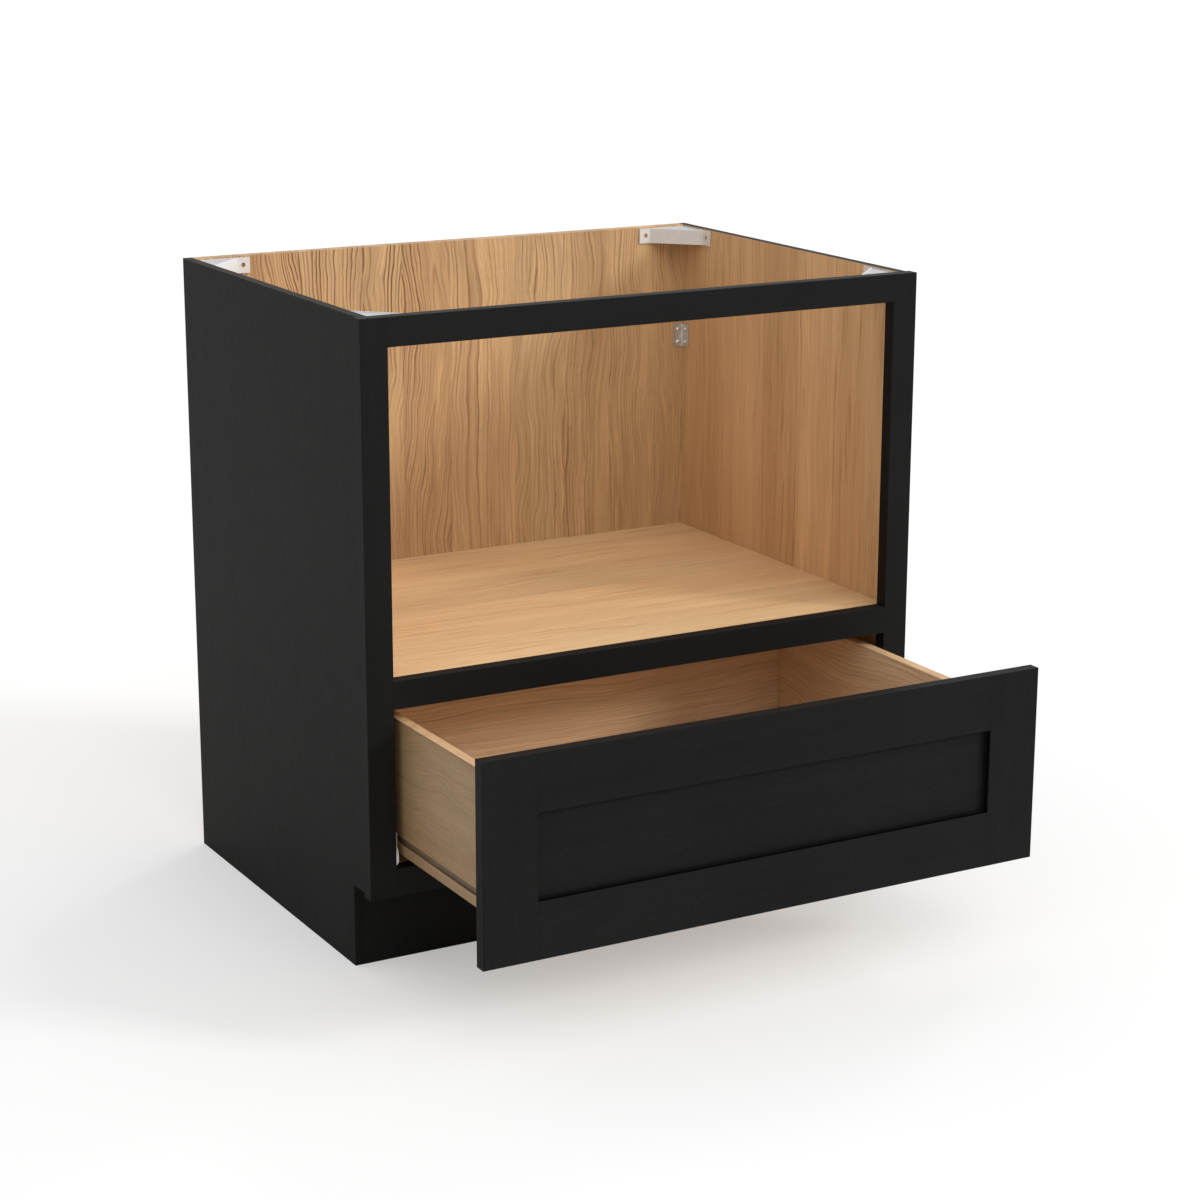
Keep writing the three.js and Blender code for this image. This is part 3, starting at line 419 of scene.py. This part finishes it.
def box_side_wood(name, side):
    """A drawer side with painted shade: darker outside than in, and darker still in the line routed
    along it.
    """
    shader = Shader(f"{name}_drawer_side_wood")
    low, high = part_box(f"drawer_box_{name}_side")
    outer = low.x if side < 0 else high.x
    x, _, z = shader.split(shader.coords)
    depth = shader.math("MULTIPLY", shader.math("SUBTRACT", outer, x), side)
    outside = shader.product(shader.above(shader.facing("x", side), 0.5),
                             shader.below(depth, SKIN))
    routed = shader.product(shader.between(depth, *ROUTED_DEPTHS),
                            shader.between(z, *[low.z + rise for rise in ROUTED_HEIGHTS]))
    pattern = wood_pattern(shader, "y", "z", board=0.3, wave=1.1, seed=6.4 + side)
    # Painted shade on the outer face.
    colour = shader.mix(outside, wood_colour(shader, pattern, BOX_TONES, 0.6),
                        wood_colour(shader, pattern, BOX_OUTSIDE_SHADED_TONES, 0.6, 0.5))
    # Painted shade in the routed line, a little uneven along it.
    groove_shade_amount = shader.spread(shader.drawn_noise("y", 40, 400), 0.75, 1.0)
    colour = shader.mix(shader.math("MULTIPLY", routed, groove_shade_amount), painted_light_on_top(shader, colour),
                        GROOVE_PAINTED_SHADE)
    return set_wood(shader, pattern, colour)


# ---- Black paint -------------------------------------------------------------------------------

PAINT_SHEEN = 0.04
# Where the drawer front's moulding lies: behind its front face, and in from its edges at least.
MOULDING_DEPTHS = 1.2 * MM, 7.6 * MM
MOULDING_INSET = 30 * MM


def painted(shader, along):
    """Colour, roughness and normal of satin black sprayed on wood, whose grain just shows."""
    grain = shader.drawn_noise(along, 30, 900)
    streaks = shader.drawn_noise(along, 2, 55, 3.0)
    fine = shader.drawn_noise(along, 120, 500, 3.0)
    tone = shader.noise(shader.coords, 6.0, 3.0)
    orange_peel = shader.noise(shader.coords, 700.0, 1.0)
    shade = shader.math("MULTIPLY_ADD", fine, 0.5, shader.math(
        "MULTIPLY_ADD", streaks, 0.25, shader.math("MULTIPLY", tone, 0.25)))
    colour = shader.mix(shader.range(shade, 0.38, 0.62), scaled(BLACK, 0.84), scaled(BLACK, 1.16))
    height = shader.math("MULTIPLY_ADD", orange_peel, 0.5, grain)
    return colour, shader.spread(grain, 0.46, 0.56), shader.bump(height, 0.12, 0.3 * MM)


def black_paint(name, along):
    shader = Shader(name)
    colour, roughness, normal = painted(shader, along)
    return shader.set(Base_Color=colour, Roughness=roughness, Specular_IOR_Level=PAINT_SHEEN,
                      Normal=normal)


def shaded_moulding_paint(name, along):
    """Paint on the drawer front's frame, with painted shade in its moulding: deeper black on its
    faces and most on its walls.
    """
    shader = Shader(name)
    colour, roughness, normal = painted(shader, along)
    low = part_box("drawer_front_left_stile")[0]
    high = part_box("drawer_front_right_stile")[1]
    x, y, z = shader.split(shader.coords)
    sunk = shader.product(
        shader.between(y, *[low.y + depth for depth in MOULDING_DEPTHS]),
        shader.between(x, low.x + MOULDING_INSET, high.x - MOULDING_INSET),
        shader.between(z, low.z + MOULDING_INSET, high.z - MOULDING_INSET))
    wall = shader.above(shader.facing("y"), -0.9)
    # Painted shade: the moulding is made darker than the front's paint, most on its walls.
    moulding = shader.mix(wall, MOULDING_FACE_PAINTED_SHADE, MOULDING_WALL_PAINTED_SHADE)
    return shader.set(Base_Color=shader.mix(sunk, colour, moulding),
                      Roughness=roughness, Specular_IOR_Level=PAINT_SHEEN, Normal=normal)


def side_panel_finish(name, side):
    """Black outside and on the edges, with painted shade, clear-finished wood inside, and a painted
    brown reflection along the top arris.
    """
    shader = Shader(f"{name}_side_panel")
    low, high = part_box(f"{name}_side_panel")
    inner, outer = (high.x, low.x) if side < 0 else (low.x, high.x)
    x, _, z = shader.split(shader.coords)
    from_inner = shader.math("MULTIPLY", shader.math("SUBTRACT", x, inner), side)
    from_outer = shader.math("MULTIPLY", shader.math("SUBTRACT", outer, x), side)
    from_top = shader.math("SUBTRACT", high.z, z)
    inside = shader.product(shader.above(shader.facing("x", -side), 0.5),
                            shader.below(from_inner, SKIN))

    pattern = wood_pattern(shader, "z", "y", board=0.095, ring=0.005, wave=0.45, seed=3.1 + side)
    oak = wood_colour(shader, pattern, WALL_TONES, 0.6, 0.3, 0.6)

    black, roughness, normal = painted(shader, "z")
    # Painted reflection: a brown line, a little uneven, along the top outer arris.
    uneven = shader.math("MULTIPLY", shader.noise(shader.coords, 60.0), 1.6 * MM)
    from_arris = shader.math("SUBTRACT", shader.math("ADD", from_outer, from_top), uneven)
    arris_reflection = shader.range(from_arris, -0.4 * MM, 0.5 * MM, 1.0, 0.0)
    # Painted shade: the side panels' black is made darker than the front's.
    black = shader.mix(arris_reflection, shader.tinted(black, SIDE_PAINTED_SHADE), ARRIS_PAINTED_REFLECTION)

    height = shader.math("MULTIPLY", wood_height(shader, pattern), inside)
    return shader.set(Base_Color=shader.mix(inside, black, oak),
                      Roughness=shader.math("MULTIPLY_ADD", inside, 0.06, roughness),
                      Specular_IOR_Level=PAINT_SHEEN,
                      Normal=shader.bump(height, 0.2, WOOD_RELIEF, normal))


# ---- Plastic, rubber and metal -----------------------------------------------------------------

def set_plastic(shader, colour):
    """Moulded plastic of a colour, faintly mottled."""
    mottled = shader.noise(shader.coords, 60.0, 3.0)
    fine = shader.noise(shader.coords, 2500.0)
    return shader.set(Base_Color=shader.shaded(colour, shader.spread(mottled, 0.94, 1.0)),
                      Roughness=shader.spread(mottled, 0.36, 0.48),
                      Normal=shader.bump(fine, 0.08, 0.2 * MM))


def bracket_finish(name):
    """White plastic, greyer on the level faces below the rim."""
    shader = Shader(name)
    rim_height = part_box("left_front_corner_bracket")[1].z
    z = shader.split(shader.coords)[2]
    sunk = shader.product(shader.above(shader.facing("z"), 0.9),
                          shader.below(z, rim_height - 0.5 * MM))
    return set_plastic(shader, shader.mix(sunk, PLASTIC_TONE, PLATE_TONE))


def steel(name, tones, roughness):
    """Plated steel with its faint spangle and drawing lines."""
    shader = Shader(name)
    spangle = shader.noise(shader.coords, 260.0)
    lines = shader.drawn_noise("y", 60, 2200)
    return shader.set(Base_Color=shader.mix(shader.range(spangle, 0.35, 0.65), *tones),
                      Metallic=1.0,
                      Roughness=shader.spread(lines, roughness - 0.06, roughness + 0.08),
                      Normal=shader.bump(lines, 0.05, 0.1 * MM))


def clear_rubber(name):
    shader = Shader(name)
    cloud = shader.noise(shader.coords, 300.0)
    return shader.set(Base_Color=shader.mix(cloud, *RUBBER_TONES),
                      Roughness=shader.spread(cloud, 0.25, 0.4), Transmission_Weight=0.5)


# ---- Mesh helpers ------------------------------------------------------------------------------

TURNED_SEGMENTS = 40
DOME_STEPS = 7
EASE_SEGMENTS = 2
# Where faces meet at more than this, an arris is eased, or shaded as sharp.
EASE_ANGLE = math.radians(35)
SHARP_ANGLE = math.radians(40)
WELD_DISTANCE = 0.001 * MM


def ease(piece, width):
    """Rounds the arrises of a piece."""
    weld = piece.modifiers.new("weld", "WELD")
    weld.merge_threshold = WELD_DISTANCE
    rounded = piece.modifiers.new("ease", "BEVEL")
    rounded.width = width
    rounded.segments = EASE_SEGMENTS
    rounded.limit_method = "ANGLE"
    rounded.angle_limit = EASE_ANGLE


def baked_mesh(piece):
    """The piece's mesh with its modifiers applied."""
    graph = bpy.context.evaluated_depsgraph_get()
    return bpy.data.meshes.new_from_object(piece.evaluated_get(graph))


def new_mesh(name, form):
    """Turns a bmesh into a mesh."""
    mesh = bpy.data.meshes.new(name)
    form.to_mesh(mesh)
    form.free()
    return mesh


def smooth(mesh):
    mesh.shade_smooth()
    mesh.set_sharp_from_angle(angle=SHARP_ANGLE)
    return mesh


def add_object(name, data):
    thing = bpy.data.objects.new(name, data)
    bpy.context.scene.collection.objects.link(thing)
    return thing


def turned(profile):
    """A mesh turned round Z from points of radius and height, listed from the top middle down."""
    form = bmesh.new()
    turns = [2 * math.pi * i / TURNED_SEGMENTS for i in range(TURNED_SEGMENTS)]
    previous = None
    for radius, height in profile:
        if radius == 0:
            ring = [form.verts.new((0, 0, height))]
        else:
            ring = [form.verts.new((radius * math.cos(turn), radius * math.sin(turn), height))
                    for turn in turns]
        if previous:
            for i in range(TURNED_SEGMENTS):
                j = (i + 1) % TURNED_SEGMENTS
                corners = [previous[i % len(previous)], ring[i % len(ring)], ring[j % len(ring)],
                           previous[j % len(previous)]]
                form.faces.new(list(dict.fromkeys(corners)))
        previous = ring
    return smooth(new_mesh("turned", form))


def dome(radius, rise):
    """Profile points of a domed top, from its middle to its rim."""
    return [(radius * math.sin(turn), rise * (math.cos(turn) - 1))
            for turn in (math.pi / 2 * i / DOME_STEPS for i in range(DOME_STEPS + 1))]


# ---- Screws and bumpers, in place of plainer nodes ---------------------------------------------

HEAD_HEIGHT = 2 * MM
SHANK_RADIUS = 1.6 * MM
# The domed share of the height of a screw's head and of a bumper.
HEAD_CROWN, BUMPER_CROWN = 0.72, 0.8
# A screw's tip: its length and its blunt end, in radii of the shank.
TIP_LENGTH, TIP_RADIUS = 1.5, 0.3
# The cross recess: depth in heights of the head; length and half the width of an arm in its radii.
RECESS_DEPTH = 0.7
ARM_LENGTH, ARM_HALF_WIDTH = 0.58, 0.16
# The cross's size above the head and at the bottom, against that at the head's top.
RECESS_MOUTH, RECESS_FOOT = 1.3, 0.55


def cross_recess(radius, depth):
    """The tool that cuts a screw's cross recess: a cross that narrows as it goes down."""
    arm, half = ARM_LENGTH * radius, ARM_HALF_WIDTH * radius
    quarter = [(arm, -half), (arm, half), (half, half)]
    outline = [Matrix.Rotation(math.pi / 2 * turn, 2) @ Vector(corner)
               for turn in range(4) for corner in quarter]
    form = bmesh.new()
    top, bottom = [[form.verts.new((*(corner * scale), height)) for corner in outline]
                   for scale, height in ((RECESS_MOUTH, depth), (RECESS_FOOT, -depth))]
    form.faces.new(top)
    form.faces.new(reversed(bottom))
    for i in range(len(outline)):
        j = (i + 1) % len(outline)
        form.faces.new((top[j], top[i], bottom[i], bottom[j]))
    return new_mesh("cross_recess", form)


def pan_head(radius, length):
    """A pan-head screw with its head's top at the origin and its tip down Z."""
    profile = [*dome(radius, HEAD_CROWN * HEAD_HEIGHT), (radius, -HEAD_HEIGHT),
               (SHANK_RADIUS, -HEAD_HEIGHT), (SHANK_RADIUS, -length + TIP_LENGTH * SHANK_RADIUS),
               (SHANK_RADIUS * TIP_RADIUS, -length), (0, -length)]
    screw = add_object("screw_blank", turned(profile))
    tool = add_object("recess_tool", cross_recess(radius, HEAD_HEIGHT * RECESS_DEPTH))
    cut = screw.modifiers.new("recess", "BOOLEAN")
    cut.object = tool
    cut.operation = "DIFFERENCE"
    mesh = baked_mesh(screw)
    for blank in (screw, tool):
        bpy.data.objects.remove(blank)
    return smooth(mesh)


def stand_in(node, mesh, axis, sign, material):
    """Puts a mesh in a node's place, with its top towards the sign's side of the axis."""
    mesh.materials.clear()
    mesh.materials.append(material)
    piece = add_object(f"{node}_detail", mesh)
    low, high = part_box(node)
    spot = (low + high) / 2
    spot[AXES[axis]] = (high if sign > 0 else low)[AXES[axis]]
    outward = Vector([sign if name == axis else 0 for name in AXES])
    turn = outward.to_track_quat("Z", "Y").to_matrix().to_4x4()
    piece.matrix_world = Matrix.Translation(spot) @ turn
    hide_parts(node)
    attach(piece, BODY_OF[node])


def make_screw(node, axis, sign, material):
    low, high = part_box(node)
    size = high - low
    radius = min(part for name, part in zip(AXES, size) if name != axis) / 2
    stand_in(node, pan_head(radius, size[AXES[axis]]), axis, sign, material)


def make_bumper(node, material):
    """A soft round stop with a crowned face."""
    low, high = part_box(node)
    radius, height = min(high.x - low.x, high.z - low.z) / 2, high.y - low.y
    profile = [*dome(radius, BUMPER_CROWN * height), (radius, -height), (0, -height)]
    stand_in(node, turned(profile), "y", 1, material)


# ---- Carcass and drawer nodes ------------------------------------------------------------------

# How finely arrises are eased.
BOARD_ARRIS = 0.15 * MM
BOX_END_ARRIS = 0.3 * MM
BOX_SIDE_ARRIS = 0.4 * MM
MOULDED_ARRIS = 0.3 * MM
FOLD = 0.25 * MM


def finish_node(name, material, arris=0.0):
    """Gives a CAD node its material and eases its arrises."""
    node = NODES[name]
    node.data.materials.clear()
    node.data.materials.append(material)
    if arris:
        ease(node, arris)


paint_x = black_paint("black_paint_x", "x")
paint_z = black_paint("black_paint_z", "z")
shaded_moulding_x = shaded_moulding_paint("moulded_paint_x", "x")
shaded_moulding_z = shaded_moulding_paint("moulded_paint_z", "z")
oak_back = back_wood("oak_back")
oak_shelf = deck_wood("oak_shelf", SHELF_TONES, 0.35, 0.36, 0.75, board=0.11, ring=0.009,
                      wave=0.9, seed=1.7)
box_end = box_end_wood("box_end_wood")
box_floor = deck_wood("box_floor", BOX_TONES, 0.5, board=0.15, ring=0.006, seed=7.1)
white = set_plastic(Shader("white_plastic"), PLASTIC_TONE)
bracket_plastic = bracket_finish("bracket_plastic")
grey = set_plastic(Shader("grey_plastic"), GREY_TONE)
zinc = steel("zinc_steel", ZINC_TONES, 0.42)
nickel = steel("screw_steel", NICKEL_TONES, 0.22)
rubber = clear_rubber("bumper_rubber")

for board in ("top_rail", "middle_rail", "bottom_rail", "toe_kick_board", "drawer_front_panel"):
    finish_node(board, paint_x)
for rail in ("drawer_front_top_rail", "drawer_front_bottom_rail"):
    finish_node(rail, shaded_moulding_x)
finish_node("back_panel", oak_back, BOARD_ARRIS)
for deck in ("microwave_shelf", "cabinet_floor"):
    finish_node(deck, oak_shelf)
for end in ("drawer_box_front", "drawer_box_back"):
    finish_node(end, box_end, BOX_END_ARRIS)
finish_node("drawer_box_bottom", box_floor)
for index in range(1, 5):
    make_screw(f"drawer_front_screw_{index}", "y", 1, nickel)
    make_bumper(f"drawer_bumper_{index}", rubber)
for name, side in SIDES.items():
    finish_node(f"{name}_side_panel", side_panel_finish(name, side), BOARD_ARRIS)
    finish_node(f"{name}_stile", paint_z)
    finish_node(f"drawer_front_{name}_stile", shaded_moulding_z)
    finish_node(f"drawer_box_{name}_side", box_side_wood(name, side), BOX_SIDE_ARRIS)
    for place in ("front", "rear"):
        finish_node(f"{name}_{place}_corner_bracket", bracket_plastic, MOULDED_ARRIS)
    for part in ("corner_clip", "slide_cabinet_member", "slide_rear_bracket",
                 "slide_middle_member", "slide_drawer_member"):
        finish_node(f"{name}_{part}", zinc, FOLD)
    for index in (1, 2):
        make_screw(f"{name}_clip_back_screw_{index}", "y", -1, nickel)
        make_screw(f"{name}_clip_side_screw_{index}", "x", -side, nickel)
    for part in ("lower", "upper"):
        finish_node(f"{name}_{part}_roller_cage", white, FOLD)
    for part in ("front_lock", "release_lever"):
        finish_node(f"{name}_{part}", grey, FOLD)


# ---- Floor, light and camera -------------------------------------------------------------------

# Half the floor's width, and how far it lies below the cabinet so that no faces share a plane.
FLOOR_REACH = 30.0
FLOOR_DROP = 0.2 * MM
# How much of the white that the camera sees in the floor is its own.
FLOOR_GLOW = 0.35

# How strongly the white surroundings light the object.
AMBIENT = 0.76
# For each lamp: where its light comes from (degrees from the front towards the right, and above
# the floor), the light it adds to a level white surface, and how wide it looks in degrees.
LAMPS = {"front": (0, 45, 0.14, 40), "front_right": (45, 25, 0.18, 14),
         "back_right": (123, 34, 0.05, 12)}

# The camera: its place, its turn in radians, and its sensor and lens in millimetres.
CAMERA_PLACE = (-1.82772, -3.704975, 1.42905)
YAW, PITCH, ROLL = 0.513, 0.2614, 0.0026
SENSOR_WIDTH, LENS = 36.0, 83.63
VIEW_DISTANCE = 100.0


def make_floor():
    mesh = bpy.data.meshes.new("floor")
    corners = [(x * FLOOR_REACH, y * FLOOR_REACH, 0)
               for x, y in ((-1, -1), (1, -1), (1, 1), (-1, 1))]
    mesh.from_pydata(corners, [], [(0, 1, 2, 3)])
    floor = add_object("floor", mesh)
    floor.location.z = -FLOOR_DROP
    shader = Shader("floor")
    shader.set(Base_Color=FLOOR_TONE, Roughness=0.9, Specular_IOR_Level=0.1)
    glow = shader.tree.nodes.new("ShaderNodeEmission")
    seen = shader.tree.nodes.new("ShaderNodeLightPath").outputs["Is Camera Ray"]
    blend = shader.tree.nodes.new("ShaderNodeMixShader")
    shader.link(shader.math("MULTIPLY", seen, FLOOR_GLOW), blend.inputs[0])
    shader.link(shader.surface.outputs[0], blend.inputs[1])
    shader.link(glow.outputs[0], blend.inputs[2])
    shader.link(blend.outputs[0], shader.output.inputs[0])
    mesh.materials.append(shader.material)


def make_world():
    """White surroundings: plain light on the object, and full white where they are seen."""
    world = bpy.data.worlds.new("studio")
    bpy.context.scene.world = world
    world.use_nodes = True
    tree = world.node_tree
    background = tree.nodes["Background"]
    path = tree.nodes.new("ShaderNodeLightPath")
    seen = path.outputs["Is Camera Ray"]
    for ray in ("Is Glossy Ray", "Is Transmission Ray"):
        add = tree.nodes.new("ShaderNodeMath")
        add.operation = "MAXIMUM"
        tree.links.new(seen, add.inputs[0])
        tree.links.new(path.outputs[ray], add.inputs[1])
        seen = add.outputs[0]
    strength = tree.nodes.new("ShaderNodeMapRange")
    strength.inputs["To Min"].default_value = AMBIENT
    strength.inputs["To Max"].default_value = 1.0
    tree.links.new(seen, strength.inputs["Value"])
    tree.links.new(strength.outputs[0], background.inputs["Strength"])
    background.inputs["Color"].default_value = WHITE


def make_lamp(name, bearing, height, level, width):
    """A wide soft lamp far away."""
    bearing, height = math.radians(bearing), math.radians(height)
    data = bpy.data.lights.new(name, "SUN")
    data.energy = math.pi * level / math.sin(height)
    data.angle = math.radians(width)
    source = Vector((math.sin(bearing) * math.cos(height), -math.cos(bearing) * math.cos(height),
                     math.sin(height)))
    add_object(name, data).rotation_euler = source.to_track_quat("Z", "Y").to_euler()


def make_camera():
    data = bpy.data.cameras.new("camera")
    data.sensor_width = SENSOR_WIDTH
    data.lens = LENS
    data.clip_end = VIEW_DISTANCE
    camera = add_object("camera", data)
    look = Vector((math.sin(YAW) * math.cos(PITCH), math.cos(YAW) * math.cos(PITCH),
                   -math.sin(PITCH)))
    right = Vector((math.cos(YAW), -math.sin(YAW), 0))
    up = right.cross(look)
    right, up = (right * math.cos(ROLL) + up * math.sin(ROLL),
                 up * math.cos(ROLL) - right * math.sin(ROLL))
    turn = Matrix((right, up, -look)).transposed().to_4x4()
    camera.matrix_world = Matrix.Translation(CAMERA_PLACE) @ turn
    bpy.context.scene.camera = camera


make_floor()
make_world()
for name, lamp in LAMPS.items():
    make_lamp(name, *lamp)
make_camera()
bpy.context.scene.view_settings.view_transform = "Standard"
